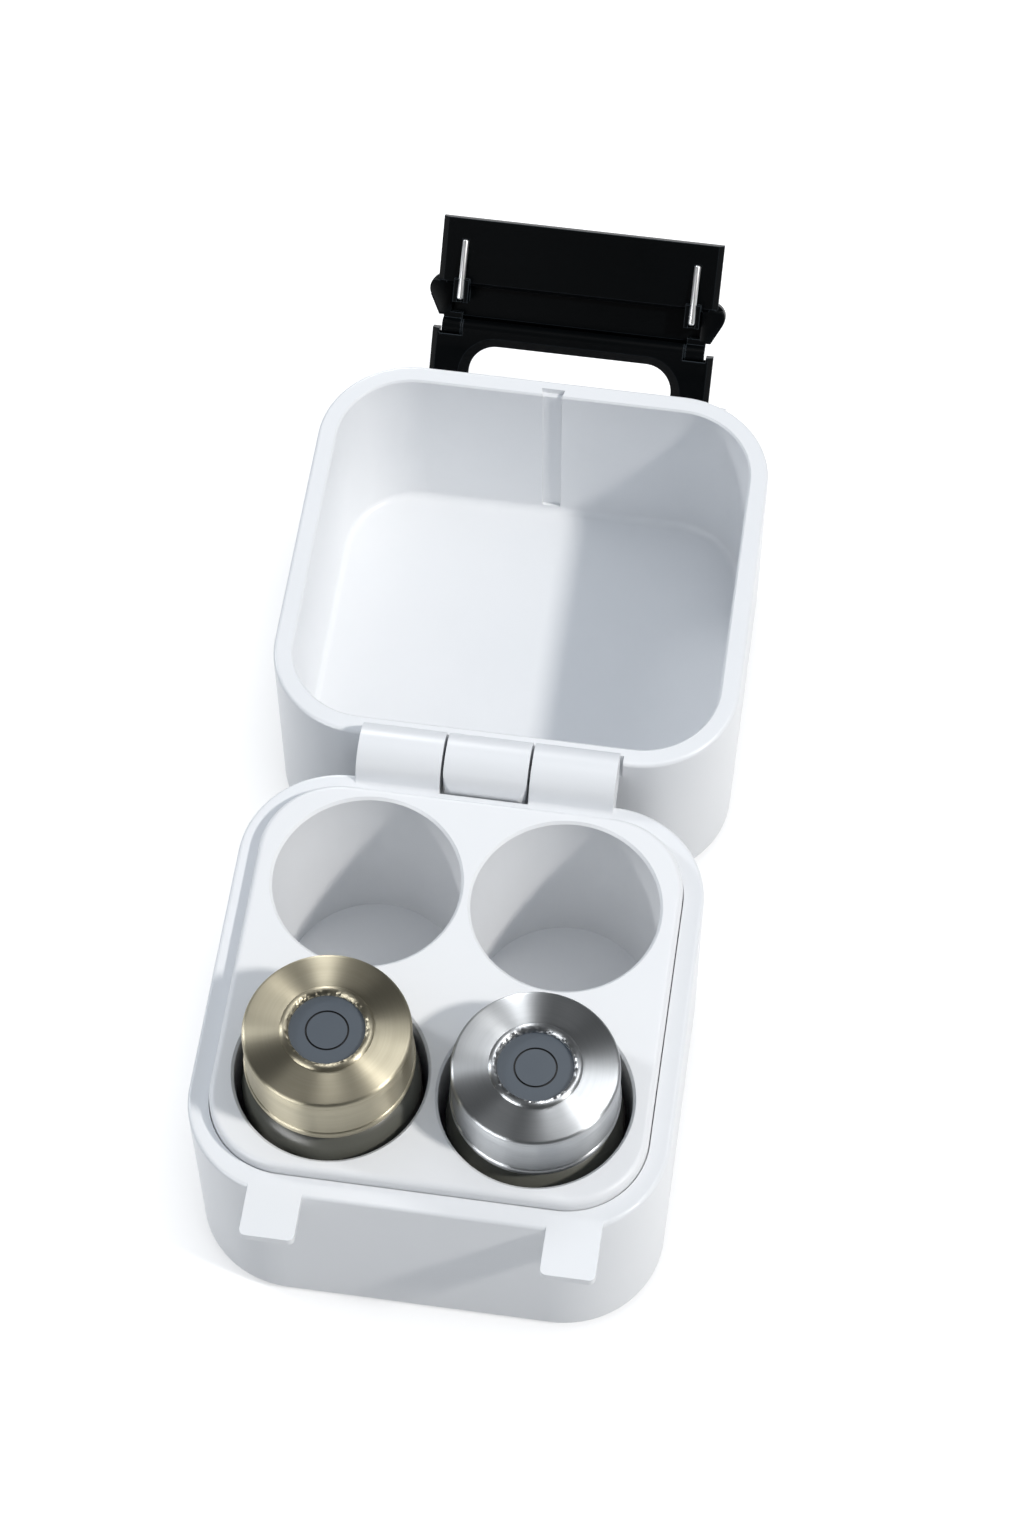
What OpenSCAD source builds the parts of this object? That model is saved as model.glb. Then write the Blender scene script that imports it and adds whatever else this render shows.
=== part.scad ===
/* [Case] */
// Height of each half, from its flat face to the parting plane
half_h = 30; // [26:0.5:40]
// Radius of the four upright corners
corner_r = 12.8; // [9:0.1:16]
// Rounding of the edge round each flat face
face_edge_r = 1.6; // [0.6:0.1:2]
// Rounding of the outer edge of both rims
rim_edge_r = 0.5; // [0.2:0.1:0.8]
// Wall of the base
base_wall = 2.6; // [2.2:0.1:3.2]
// Floor of the base
base_floor = 2.4; // [1.5:0.1:3]
// Overhang of the lid's left and right sides past the base's
lid_overhang = 1; // [0:0.1:1.4]
// Wall of the lid
lid_wall = 2.6; // [2:0.1:2.8]
// Flat top of the lid
lid_top = 2.7; // [2:0.1:3.5]
// Fillet inside the lid, where its walls meet its flat top
lid_fillet_r = 1; // [0.5:0.1:3]
// Gap between the two rims when the lid is shut
rim_gap = 0.1; // [0.05:0.05:0.3]

/* [Lid groove] */
// Width of the upright groove inside the lid's front wall
groove_w = 2.6; // [1.5:0.1:4]
// Depth of that groove
groove_depth = 0.5; // [0.3:0.1:1]
// Width of the rim notch over the groove, at its outer end
notch_w = 3.2; // [2.6:0.1:6]
// Length of the notch across the rim
notch_len = 1.2; // [0.8:0.1:1.8]
// Depth of the notch below the rim
notch_depth = 0.9; // [0.4:0.1:2]

/* [Vial tray] */
// Height of the tray's raised deck over the rim
deck_rise = 2; // [1:0.1:5]
// Thickness of the deck
deck_t = 2; // [1.5:0.1:3]
// Depth of the deck's skirt below the rim
skirt_depth = 4; // [2:0.1:8]
// Thickness of the skirt
skirt_t = 1.3; // [1:0.1:1.4]
// Rounding of the deck's top edge
deck_edge_r = 0.8; // [0.3:0.1:0.9]
// Rim of the deck beside the left and right wells
side_margin = 2.5; // [2:0.1:6]
// Rim of the deck before and behind the wells
end_margin = 1.65; // [1.5:0.05:6]
// Land between the wells, left to right
land_x = 1.4; // [1:0.1:4]
// Land between the wells, front to back
land_y = 2.9; // [1:0.1:6]
// Gap between the tray and the base's wall
tray_gap = 0.12; // [0.05:0.01:0.2]
// Gap between a vial and the side of its well
well_gap = 0.9; // [0.5:0.05:1.2]
// Wall of the tube round each well
well_wall = 1.2; // [0.8:0.1:1.4]
// Floor of each well
well_floor = 1.6; // [0.8:0.1:2.4]
// Bevel at the mouth of each well
well_bevel = 0.35; // [0.2:0.05:0.6]

/* [Hinge] */
// Distance of the hinge axis behind the base's wall
hinge_offset = 3.15; // [2.9:0.05:3.6]
// Radius of the knuckles
knuckle_r = 4.1; // [3.8:0.1:4.3]
// Width of the lid's knuckle
lid_knuckle_w = 10.8; // [8:0.1:14]
// Width of each of the base's two knuckles
base_knuckle_w = 10.9; // [8:0.1:12]
// Radius of the knuckles' free corners, seen from above
knuckle_corner_r = 1.2; // [0.4:0.1:1.6]
// Fillet between a knuckle and the rim that it rises from
knuckle_fillet_r = 0.5; // [0.2:0.1:0.6]
// Reach of the web under a knuckle, down the wall
web_drop = 2.6; // [1:0.1:6]
// Gap beside and round the knuckles
knuckle_gap = 0.35; // [0.2:0.05:0.5]
// Diameter of the hinge pin
hinge_pin_d = 2; // [1.5:0.1:3]

/* [Catch tabs] */
// Distance of each tab's centre from the latch's middle
tab_x = 18.2; // [17.4:0.1:19]
// Width of a tab
tab_w = 6.7; // [5:0.1:8]
// Reach of a tab in front of the wall
tab_len = 5.8; // [5:0.1:5.9]
// Thickness of a tab
tab_t = 1.3; // [0.8:0.1:1.3]
// Rounding of a tab's outer corners
tab_r = 0.8; // [0.4:0.1:1.5]
// Depth of the roots of the tabs and lugs, from the straight part of the wall
root_len = 3.4; // [2:0.1:4]

/* [Latch frame] */
// Distance of the latch's and the tabs' middle to the right of the case's middle
latch_x = 1.3; // [0:0.1:1.4]
// Half width over the frame's legs
frame_half_w = 19.6; // [19.2:0.1:20.6]
// Half width of the frame's opening
opening_half_w = 14.2; // [13.5:0.1:14.4]
// Radius of the opening's corners
opening_r = 3.8; // [2:0.1:4.2]
// Distance from the frame's pivot to the opening's end
opening_end = 6.7; // [6:0.1:6.8]
// Distance from the frame's pivot to the lever's hinge
frame_len = 9; // [8.8:0.1:9.2]
// Thickness of the frame
frame_t = 2.2; // [1.8:0.1:2.3]
// Width and depth of the bevel round the opening
opening_bevel = 1.3; // [0.4:0.1:1.3]
// Bevel along the outer edges of the frame, the plate and the cheeks
edge_bevel = 0.7; // [0.3:0.1:0.8]
// Distance of the pivot in front of the lid's wall
pivot_offset = 3; // [2.9:0.1:3.2]
// Distance of the pivot from the parting plane
pivot_drop = 9; // [8.9:0.1:9.6]
// Angle between the open latch and the floor
latch_lean = 47; // [40:1:55]
// Radius of the frame's pivot ends
pivot_end_r = 1.5; // [1.3:0.1:1.6]
// Diameter of the pivot pins
pivot_pin_d = 1.5; // [1:0.1:1.8]
// Thickness of each lug that carries a pivot pin
lug_w = 2.2; // [1.4:0.1:2.6]
// Radius of the lugs round the pivot
lug_r = 1.8; // [1.4:0.1:2]
// Gap between the lugs and the frame's legs
lug_gap = 0.3; // [0.15:0.05:0.4]

/* [Latch lever] */
// Half width of the lever's plate
plate_half_w = 19.45; // [19.1:0.05:20.2]
// Distance from the lever's hinge to the free end of its plate
lever_len = 15.1; // [13:0.1:15.6]
// Distance from the lever's hinge to the step up to the plate
plate_start = 6.3; // [5.8:0.1:7]
// Thickness of the plate
plate_t = 1.8; // [1.4:0.1:2]
// Height of the plate's inner face over the hinge axis
plate_rise = 0.3; // [0:0.1:0.3]
// Distance from the hinge axis out to the pocket's floor
pocket_drop = 1.2; // [0.8:0.1:1.6]
// Thickness of the pocket's floor
pocket_t = 1.4; // [1:0.1:1.8]
// Radius of the round cheeks at the pocket's ends
cheek_r = 1.9; // [1.6:0.1:2.2]
// Reach of the cheeks past the plate's sides
cheek_reach = 1.15; // [0.6:0.05:1.4]
// Distance of the cheeks' widest point from the step up to the plate
cheek_drop = 1.25; // [1:0.05:1.6]
// Angle at which the cheeks narrow towards the hinge
cheek_angle = 27.5; // [20:0.5:32]
// Radius of the lever's hinge barrels
barrel_r = 1.15; // [1.1:0.05:1.3]
// Width of each of the lever's two barrels
barrel_w = 2.6; // [2:0.1:3]
// Distance of the barrels' outer ends from the middle
barrel_end_x = 18.3; // [17.9:0.1:18.5]
// Gap beside and round the barrels
barrel_gap = 0.3; // [0.15:0.05:0.4]
// Diameter of the lever's hinge pin
lever_pin_d = 1; // [0.8:0.1:1.1]

/* [Catch rods] */
// Distance of each rod from the latch's middle
rod_x = 16.1; // [15.8:0.05:16.4]
// Diameter of the rods
rod_d = 0.9; // [0.7:0.05:0.95]
// Length of the rods
rod_len = 8.3; // [7.5:0.1:8.8]
// Distance from the lever's hinge to the rods' catching ends
rod_start = 4; // [3.9:0.1:4.2]
// Height of the catching ends over the hinge axis
rod_rise = 1.3; // [1.1:0.05:1.35]
// Slope of the rods down to the plate
rod_slope = 6.5; // [5:0.5:8]
// Width of the ribs that carry the catching ends
rib_w = 2.1; // [1.6:0.1:2.6]
// Reach of the ribs past the catching ends
rib_lead = 0.4; // [0.2:0.1:0.6]

/* [Vials] */
// Diameter of the glass
vial_d = 22; // [21:0.1:24]
// Height of the left vial with its seal
left_vial_h = 39.4; // [34:0.1:46]
// Height of the right vial with its seal
right_vial_h = 36.6; // [34:0.1:46]
// Wall of the glass
glass_t = 1.1; // [0.8:0.1:1.6]
// Radius of the glass shoulder
shoulder_r = 3.6; // [2:0.1:4]
// Height of bare neck between the shoulder and the seal
bare_neck_h = 1.2; // [0.6:0.1:3]
// Diameter of the neck
neck_d = 16.5; // [15:0.1:17.5]
// Diameter of the neck's bore
neck_bore_d = 12.6; // [11:0.1:13]
// Height of the lip round the neck's mouth
lip_h = 4.9; // [3:0.1:5.5]
// Outside diameter of the crimped seal
seal_d = 20.5; // [19.5:0.1:20.8]
// Thickness of the seal's metal
seal_t = 0.3; // [0.2:0.05:0.4]
// Fall of the seal's top from its hole to its edge
seal_fall = 0.25; // [0.1:0.05:0.4]
// Diameter of the hole in the seal's top
seal_hole_d = 9.3; // [8:0.1:10]
// Radius of the rolled bead round that hole
bead_r = 0.55; // [0.3:0.05:0.7]
// Rounding of the seal's top edge
seal_edge_r = 0.5; // [0.35:0.05:0.9]
// Radius of the roll at the skirt's foot
roll_r = 0.45; // [0.3:0.05:0.5]
// Height of the crimped band below the roll
crimp_h = 0.9; // [0.7:0.1:1.2]
// Thickness of the stopper's flange
flange_t = 2.4; // [2:0.1:3]
// Length of the stopper's plug below its flange
plug_len = 6; // [4:0.1:8]
// Diameter of the ring marked on the stopper
target_d = 5.3; // [4:0.1:6]
// Width and depth of that ring
target_w = 0.2; // [0.1:0.05:0.4]
// Gap between a vial and the floor of its well
seat_gap = 0.05; // [0.02:0.01:0.1]

/* [Fits] */
// Radial clearance of a pin that turns
running_fit = 0.05; // [0.02:0.01:0.08]
// Radial clearance of a pin that is held fast
fixed_fit = 0.01; // [0.005:0.005:0.015]

/* [Hidden] */
$fn = 64;
// How far a cut runs past the face that it opens
over = 1;
// How far a joined piece reaches into its neighbour
bite = 0.5;
// Wells, and the outlines of the tray, the base and the lid, from the inside out
well_d = vial_d + 2 * well_gap;
pitch_x = well_d + land_x;
pitch_y = well_d + land_y;
tray_w = pitch_x + well_d + 2 * side_margin;
tray_d = pitch_y + well_d + 2 * end_margin;
base_w = tray_w + 2 * (tray_gap + base_wall);
base_d = tray_d + 2 * (tray_gap + base_wall);
lid_w = base_w + 2 * lid_overhang;
lid_h = half_h - rim_gap;
// Parting plane, hinge axis and the middle of the open lid
rim_z = half_h;
hinge_y = base_d / 2 + hinge_offset;
lid_y = 2 * hinge_y;
// Outside of the lid's front wall, which lies at the back while the lid is open
lid_front_y = lid_y + base_d / 2;
// Inside of that wall
lid_inner_y = lid_front_y - lid_wall;
pivot_y = lid_front_y + pivot_offset;
pivot_z = rim_z - pivot_drop;
// Spread of the hinge's knuckles from the middle
lid_knuckle_end = lid_knuckle_w / 2;
base_knuckle_start = lid_knuckle_end + knuckle_gap;
base_knuckle_end = base_knuckle_start + base_knuckle_w;
// Floor on which the vials stand
well_floor_z = base_floor + well_floor;
well_spots = [for (x = [-1, 1], y = [-1, 1]) [x * pitch_x / 2, y * pitch_y / 2]];
left_vial_spot = [-pitch_x / 2, -pitch_y / 2];
right_vial_spot = [pitch_x / 2, -pitch_y / 2];
// Places of the lugs on both sides of a frame leg
inner_lug_x = opening_half_w - lug_gap - lug_w;
outer_lug_x = frame_half_w + lug_gap;
barrel_start_x = barrel_end_x - barrel_w;
// The glass lip fits inside the seal, which reaches from its top to a band under the lip
lip_r = seal_d / 2 - seal_t - running_fit;
seal_h = seal_fall + seal_t + flange_t + lip_h + roll_r + crimp_h;
white_plastic = [0.92, 0.93, 0.94];
tray_white = [0.95, 0.95, 0.96];
black_plastic = [0.06, 0.06, 0.07];
bright_steel = [0.8, 0.81, 0.83];
champagne = [0.72, 0.69, 0.58];
silver = [0.75, 0.77, 0.79];
stopper_grey = [0.36, 0.4, 0.46];
clear_glass = [0.75, 0.82, 0.84, 0.45];

// Half of a wall section: length out from the axis, height, and the rounding of the lower and upper outer
// edges. A flare widens the top by a 45 degree bevel.
module edge_profile(length, height, lower_r, upper_r, flare) {
    middle = height / 2;
    square([length - lower_r, middle]);
    translate([0, middle]) square([length - upper_r, height - middle]);
    translate([0, lower_r]) square([length, height - lower_r - upper_r]);
    if (lower_r > 0) translate([length - lower_r, lower_r]) circle(lower_r);
    if (upper_r > 0) translate([length - upper_r, height - upper_r]) circle(upper_r);
    if (flare > 0)
        polygon([[0, height - flare], [length, height - flare], [length + flare, height], [0, height]]);
}

// A block with round upright corners, standing on z = 0, whose lower and upper edges are rounded or flared
module round_block(width, depth, radius, height, lower_r = 0, upper_r = 0, flare = 0) {
    for (x = [-1, 1], y = [-1, 1])
        translate([x * (width / 2 - radius), y * (depth / 2 - radius), 0])
            rotate_extrude() edge_profile(radius, height, lower_r, upper_r, flare);
    rotate([90, 0, 90]) linear_extrude(width - 2 * radius, center = true) both_halves()
        edge_profile(depth / 2, height, lower_r, upper_r, flare);
    rotate([90, 0, 0]) linear_extrude(depth - 2 * radius, center = true) both_halves()
        edge_profile(width / 2, height, lower_r, upper_r, flare);
}

module both_halves() {
    children();
    mirror([1, 0]) children();
}

// Copies to the left and the right of the middle
module both_sides() {
    children();
    mirror([1, 0, 0]) children();
}

// A cylinder along X from one x to another
module rod_between(x0, x1, radius) {
    translate([x0, 0, 0]) rotate([0, 90, 0]) cylinder(h = x1 - x0, r = radius);
}

// A profile drawn as (x, z), extruded along Y from one y to another
module strip_between(y0, y1) {
    translate([0, y1, 0]) rotate([90, 0, 0]) linear_extrude(y1 - y0) children();
}

// A profile drawn as (y, z), extruded along X from one x to another
module section_between(x0, x1) {
    translate([x0, 0, 0]) rotate([90, 0, 90]) linear_extrude(x1 - x0) children();
}

// A hinge knuckle of the base, whose axis is the X axis: round, with a web down the wall, a fillet to the rim
// at the given height, and rounded free corners
module knuckle(x0, x1, low_z) {
    fillet_z = low_z + knuckle_fillet_r;
    fillet_y = -sqrt(pow(knuckle_r + knuckle_fillet_r, 2) - fillet_z * fillet_z);
    touch = [fillet_y, fillet_z] * knuckle_r / (knuckle_r + knuckle_fillet_r);
    corner_y = knuckle_r - knuckle_corner_r;
    intersection() {
        section_between(x0, x1) {
            circle(knuckle_r);
            polygon([[0, 0], [-hinge_offset - bite, 0], [-hinge_offset - bite, -knuckle_r - web_drop],
                     [-hinge_offset, -knuckle_r - web_drop], [0, -knuckle_r]]);
            difference() {
                polygon([[0, -bite], [fillet_y, -bite], [fillet_y, low_z], touch, [0, 0]]);
                translate([fillet_y, fillet_z]) circle(knuckle_fillet_r);
            }
        }
        translate([0, 0, -2 * knuckle_r - web_drop]) linear_extrude(4 * knuckle_r + web_drop) {
            translate([x0, fillet_y - over]) square([x1 - x0, corner_y - fillet_y + over]);
            translate([x0 + knuckle_corner_r, 0]) square([x1 - x0 - 2 * knuckle_corner_r, knuckle_r]);
            for (x = [x0 + knuckle_corner_r, x1 - knuckle_corner_r])
                translate([x, corner_y]) circle(knuckle_corner_r);
        }
    }
}

module at_hinge() {
    translate([0, hinge_y, rim_z]) children();
}

// Room round a knuckle of the other half, from one x to another
module knuckle_room(x0, x1) {
    rod_between(x0 - knuckle_gap, x1 + knuckle_gap, knuckle_r + knuckle_gap);
}

// A catch tab, flush with the rim, with round outer corners
module catch_tab() {
    tip = -base_d / 2 - tab_len;
    translate([tab_x, tip, rim_z - tab_t]) linear_extrude(tab_t) {
        translate([-tab_w / 2, tab_r]) square([tab_w, tab_len - tab_r + root_len]);
        translate([-tab_w / 2 + tab_r, 0]) square([tab_w - 2 * tab_r, tab_len]);
        for (x = [-1, 1]) translate([x * (tab_w / 2 - tab_r), tab_r]) circle(tab_r);
    }
}

module base_shell() {
    color(white_plastic) difference() {
        union() {
            round_block(base_w, base_d, corner_r, half_h, face_edge_r, rim_edge_r);
            at_hinge() both_sides() knuckle(base_knuckle_start, base_knuckle_end, 0);
            translate([latch_x, 0, 0]) both_sides() catch_tab();
        }
        translate([0, 0, base_floor])
            round_block(base_w - 2 * base_wall, base_d - 2 * base_wall, corner_r - base_wall, half_h);
        at_hinge() knuckle_room(-lid_knuckle_end, lid_knuckle_end);
        at_hinge() rod_between(-base_w / 2, base_w / 2, hinge_pin_d / 2 + fixed_fit);
    }
}

// The tray drops into the base: a raised deck with a skirt, and four tubes that stand on the base's floor
module vial_tray() {
    radius = corner_r - base_wall - tray_gap;
    top_z = rim_z + deck_rise;
    skirt_z = rim_z - skirt_depth;
    under_z = top_z - deck_t;
    color(tray_white) difference() {
        union() {
            difference() {
                translate([0, 0, skirt_z])
                    round_block(tray_w, tray_d, radius, top_z - skirt_z, 0, deck_edge_r);
                translate([0, 0, skirt_z - over])
                    round_block(tray_w - 2 * skirt_t, tray_d - 2 * skirt_t, radius - skirt_t,
                                under_z - skirt_z + over);
            }
            for (spot = well_spots) translate([spot.x, spot.y, base_floor])
                cylinder(h = under_z + bite - base_floor, d = well_d + 2 * well_wall);
        }
        for (spot = well_spots) translate([spot.x, spot.y, 0]) {
            translate([0, 0, well_floor_z]) cylinder(h = top_z - well_floor_z + over, d = well_d);
            translate([0, 0, top_z - well_bevel])
                cylinder(h = well_bevel + over, d1 = well_d, d2 = well_d + 2 * (well_bevel + over));
        }
    }
}

// One of the lugs that carry the latch frame's pivot pins
module pivot_lug(x0) {
    rod_between(x0, x0 + lug_w, lug_r);
    translate([x0, -pivot_offset - root_len, -lug_r]) cube([lug_w, pivot_offset + root_len, 2 * lug_r]);
}

module at_pivot() {
    translate([latch_x, pivot_y, pivot_z]) children();
}

// The lid lies open on its flat top, with its rim up and its front wall at the back
module lid_shell() {
    color(white_plastic) difference() {
        union() {
            translate([0, lid_y, 0]) round_block(lid_w, base_d, corner_r, lid_h, face_edge_r, rim_edge_r);
            at_hinge() mirror([0, 1, 0]) knuckle(-lid_knuckle_end, lid_knuckle_end, -rim_gap);
            at_pivot() both_sides() pivot_lug(inner_lug_x);
            at_pivot() both_sides() pivot_lug(outer_lug_x);
        }
        translate([0, lid_y, lid_top])
            round_block(lid_w - 2 * lid_wall, base_d - 2 * lid_wall, corner_r - lid_wall, lid_h - lid_top,
                        lid_fillet_r, 0, rim_edge_r / 2);
        at_hinge() both_sides() knuckle_room(base_knuckle_start, base_knuckle_end);
        at_hinge() rod_between(-lid_w / 2, lid_w / 2, hinge_pin_d / 2 + running_fit);
        at_pivot() rod_between(-lid_w / 2, lid_w / 2, pivot_pin_d / 2 + fixed_fit);
        translate([-groove_w / 2, lid_inner_y - over, lid_top + lid_fillet_r])
            cube([groove_w, groove_depth + over, half_h]);
        translate([0, 0, lid_h - notch_depth]) linear_extrude(notch_depth + over)
            polygon([[-groove_w / 2, lid_inner_y - over], [groove_w / 2, lid_inner_y - over],
                     [groove_w / 2, lid_inner_y], [notch_w / 2, lid_inner_y + notch_len],
                     [-notch_w / 2, lid_inner_y + notch_len], [-groove_w / 2, lid_inner_y]]);
    }
}

module hinge_pin() {
    color(bright_steel) at_hinge()
        rod_between(-base_knuckle_end + bite, base_knuckle_end - bite, hinge_pin_d / 2);
}

module pivot_pins() {
    color(bright_steel) at_pivot() both_sides()
        rod_between(inner_lug_x + bite, outer_lug_x + lug_w - bite, pivot_pin_d / 2);
}

// The latch is drawn flat: X across, Y from its pivot to its free end, Z towards the case; then it leans back
module in_latch_plane() {
    at_pivot() rotate([latch_lean, 0, 0]) children();
}

// The same, measured from the lever's hinge
module at_lever_hinge() {
    in_latch_plane() translate([0, frame_len, 0]) children();
}

// The frame's opening, bevelled on the side towards the case
module frame_opening() {
    corner_x = opening_half_w - opening_r;
    corner_y = opening_end - opening_r;
    bevel_z = frame_t / 2 - opening_bevel;
    wide = opening_bevel + over;
    translate([0, 0, -frame_t]) linear_extrude(2 * frame_t) {
        translate([-opening_half_w, -2 * pivot_end_r])
            square([2 * opening_half_w, corner_y + 2 * pivot_end_r]);
        translate([-corner_x, -2 * pivot_end_r])
            square([2 * corner_x, opening_end + 2 * pivot_end_r]);
        for (x = [-1, 1]) translate([x * corner_x, corner_y]) circle(opening_r);
    }
    for (x = [-1, 1]) translate([x * corner_x, corner_y, bevel_z])
        cylinder(h = wide, r1 = opening_r, r2 = opening_r + wide);
    section_between(-corner_x, corner_x)
        polygon([[corner_y, bevel_z], [opening_end, bevel_z], [opening_end + wide, bevel_z + wide],
                 [corner_y, bevel_z + wide]]);
    both_sides() translate([0, corner_y, 0]) rotate([90, 0, 0]) linear_extrude(corner_y - pivot_end_r)
        polygon([[corner_x, bevel_z], [opening_half_w, bevel_z], [opening_half_w + wide, bevel_z + wide],
                 [corner_x, bevel_z + wide]]);
}

// Half of a flat bar's section, from the middle out, with a bevel on its inner edge
module bevelled_bar(half_width, low_z, high_z) {
    polygon([[0, low_z], [half_width, low_z], [half_width, high_z - edge_bevel],
             [half_width - edge_bevel, high_z], [0, high_z]]);
}

module latch_frame() {
    color(black_plastic) in_latch_plane() difference() {
        union() {
            difference() {
                strip_between(0, frame_len - barrel_gap) both_halves()
                    bevelled_bar(frame_half_w, -frame_t / 2, frame_t / 2);
                frame_opening();
            }
            both_sides() rod_between(opening_half_w, frame_half_w, pivot_end_r);
            translate([0, frame_len, 0])
                rod_between(-barrel_start_x + barrel_gap, barrel_start_x - barrel_gap, barrel_r);
        }
        both_sides() translate([0, frame_len, 0])
            rod_between(barrel_start_x - barrel_gap, barrel_end_x + barrel_gap, barrel_r + barrel_gap);
        rod_between(-frame_half_w - over, frame_half_w + over, pivot_pin_d / 2 + running_fit);
        translate([0, frame_len, 0]) rod_between(-barrel_end_x, barrel_end_x, lever_pin_d / 2 + running_fit);
    }
}

// The line of a rod, from its catching end to its end on the plate
module along_rod() {
    translate([rod_x, rod_start, rod_rise]) rotate([-90 - rod_slope, 0, 0]) children();
}

// A cheek at the pocket's end: round where it is widest, then narrowing to the barrel, with a bevelled
// inner edge
module cheek(low_z, high_z, start_y) {
    center_x = plate_half_w + cheek_reach - cheek_r;
    center_y = plate_start - cheek_drop;
    touch_x = center_x + cheek_r * cos(cheek_angle);
    touch_y = center_y - cheek_r * sin(cheek_angle);
    start_x = touch_x - (touch_y - start_y) * tan(cheek_angle);
    difference() {
        union() {
            translate([0, 0, low_z]) linear_extrude(high_z - low_z)
                polygon([[barrel_start_x, start_y], [start_x, start_y], [touch_x, touch_y],
                         [center_x, center_y], [center_x, plate_start], [barrel_start_x, plate_start]]);
            translate([center_x, center_y, low_z]) cylinder(h = high_z - edge_bevel - low_z, r = cheek_r);
            translate([center_x, center_y, high_z - edge_bevel])
                cylinder(h = edge_bevel, r1 = cheek_r, r2 = cheek_r - edge_bevel);
        }
        translate([touch_x, touch_y, high_z - edge_bevel])
            rotate([0, 0, 90 - cheek_angle]) rotate([-45, 0, 0]) translate([-2 * plate_start, 0, 0])
                cube([2 * plate_start, 2 * cheek_r, 2 * cheek_r]);
    }
}

// The lever: two barrels, a pocket for the tabs with round cheeks, ribs for the rods, and the finger plate
module latch_lever() {
    pocket_z = -pocket_drop - pocket_t;
    neck_z = -barrel_gap / 2;
    pocket_start = barrel_r + barrel_gap;
    plate_z = plate_rise - plate_t;
    rib_start = rod_start - rib_lead;
    color(black_plastic) at_lever_hinge() difference() {
        union() {
            both_sides() {
                rod_between(barrel_start_x, barrel_end_x, barrel_r);
                translate([barrel_start_x, 0, -barrel_r])
                    cube([barrel_w, pocket_start + bite, barrel_r + neck_z]);
                translate([rod_x - rib_w / 2, rib_start, pocket_z])
                    cube([rib_w, plate_start - rib_start + bite, rod_rise - pocket_z]);
                cheek(pocket_z, neck_z, pocket_start);
            }
            translate([-barrel_end_x, pocket_start, pocket_z])
                cube([2 * barrel_end_x, plate_start - pocket_start, pocket_t]);
            strip_between(plate_start, lever_len) both_halves()
                bevelled_bar(plate_half_w, plate_z, plate_rise);
            section_between(-barrel_end_x, barrel_end_x)
                polygon([[plate_start - bite, pocket_z], [plate_start, pocket_z],
                         [plate_start + plate_t, plate_z], [plate_start + plate_t, plate_rise],
                         [plate_start, plate_rise], [plate_start - bite, plate_rise - bite]]);
        }
        both_sides() along_rod() translate([0, 0, -rod_d])
            cylinder(h = rod_len + rod_d + fixed_fit, d = rod_d + 2 * fixed_fit);
        rod_between(-barrel_end_x - over, barrel_end_x + over, lever_pin_d / 2 + fixed_fit);
    }
}

module lever_pin() {
    color(bright_steel) at_lever_hinge() rod_between(-barrel_end_x, barrel_end_x, lever_pin_d / 2);
}

module catch_rods() {
    color(bright_steel) at_lever_hinge() both_sides() along_rod() cylinder(h = rod_len, d = rod_d);
}

// Puts a vial's piece in its well; the vials stand on the well floors
module in_well(spot) {
    translate([spot.x, spot.y, well_floor_z + seat_gap]) children();
}

// Height of the flat under the seal's top, where the stopper's flange ends
function flange_top(sealed_h) = sealed_h - seal_fall - seal_t;

// A glass vial whose sealed height is given
module vial_glass(sealed_h) {
    glass_h = flange_top(sealed_h) - flange_t;
    body_h = sealed_h - seal_h - bare_neck_h;
    rotate_extrude() difference() {
        union() {
            edge_profile(vial_d / 2, body_h, glass_t, shoulder_r, 0);
            square([neck_d / 2, glass_h]);
            translate([0, glass_h - lip_h]) square([lip_r, lip_h]);
        }
        translate([0, glass_t])
            edge_profile(vial_d / 2 - glass_t, body_h - 2 * glass_t, glass_t, shoulder_r - glass_t, 0);
        square([neck_bore_d / 2, glass_h + over]);
    }
    cylinder(h = glass_t, d = neck_bore_d + 2 * bite);
}

// A rubber stopper: a flange on the lip, a plug in the neck, and a ring marked on its top
module vial_stopper(sealed_h) {
    top_z = flange_top(sealed_h);
    rotate_extrude() difference() {
        union() {
            translate([0, top_z - flange_t]) square([lip_r, flange_t]);
            translate([0, top_z - flange_t - plug_len])
                square([neck_bore_d / 2 - running_fit, flange_t + plug_len]);
        }
        translate([target_d / 2 - target_w, top_z - target_w]) square([target_w, target_w + over]);
    }
}

// A crimped metal seal: a top that falls to its edge, with a rolled bead round its hole, a skirt with a roll
// round its foot, and a band tucked under the glass lip
module vial_seal(sealed_h) {
    seal_r = seal_d / 2;
    bead_x = seal_hole_d / 2 + bead_r;
    edge_x = seal_r - seal_edge_r;
    edge_z = sealed_h - seal_fall - seal_edge_r;
    foot_z = sealed_h - seal_h;
    roll_z = foot_z + crimp_h + roll_r;
    under_z = flange_top(sealed_h);
    lip_under_z = roll_z - running_fit;
    neck_r = neck_d / 2 + running_fit;
    rotate_extrude() difference() {
        union() {
            polygon([[bead_x, edge_z], [edge_x, edge_z], [edge_x, sealed_h - seal_fall], [bead_x, sealed_h]]);
            translate([bead_x, sealed_h - bead_r / 2]) circle(bead_r);
            translate([edge_x, edge_z]) circle(seal_edge_r);
            translate([edge_x, roll_z]) square([seal_edge_r, edge_z - roll_z]);
            translate([seal_r - roll_r / 2, roll_z]) circle(roll_r);
            translate([neck_r, foot_z]) square([seal_r - neck_r, crimp_h + roll_r]);
        }
        translate([0, lip_under_z]) square([seal_r - seal_t, under_z - lip_under_z]);
    }
}

module left_vial_glass() {
    color(clear_glass) in_well(left_vial_spot) vial_glass(left_vial_h);
}

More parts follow.
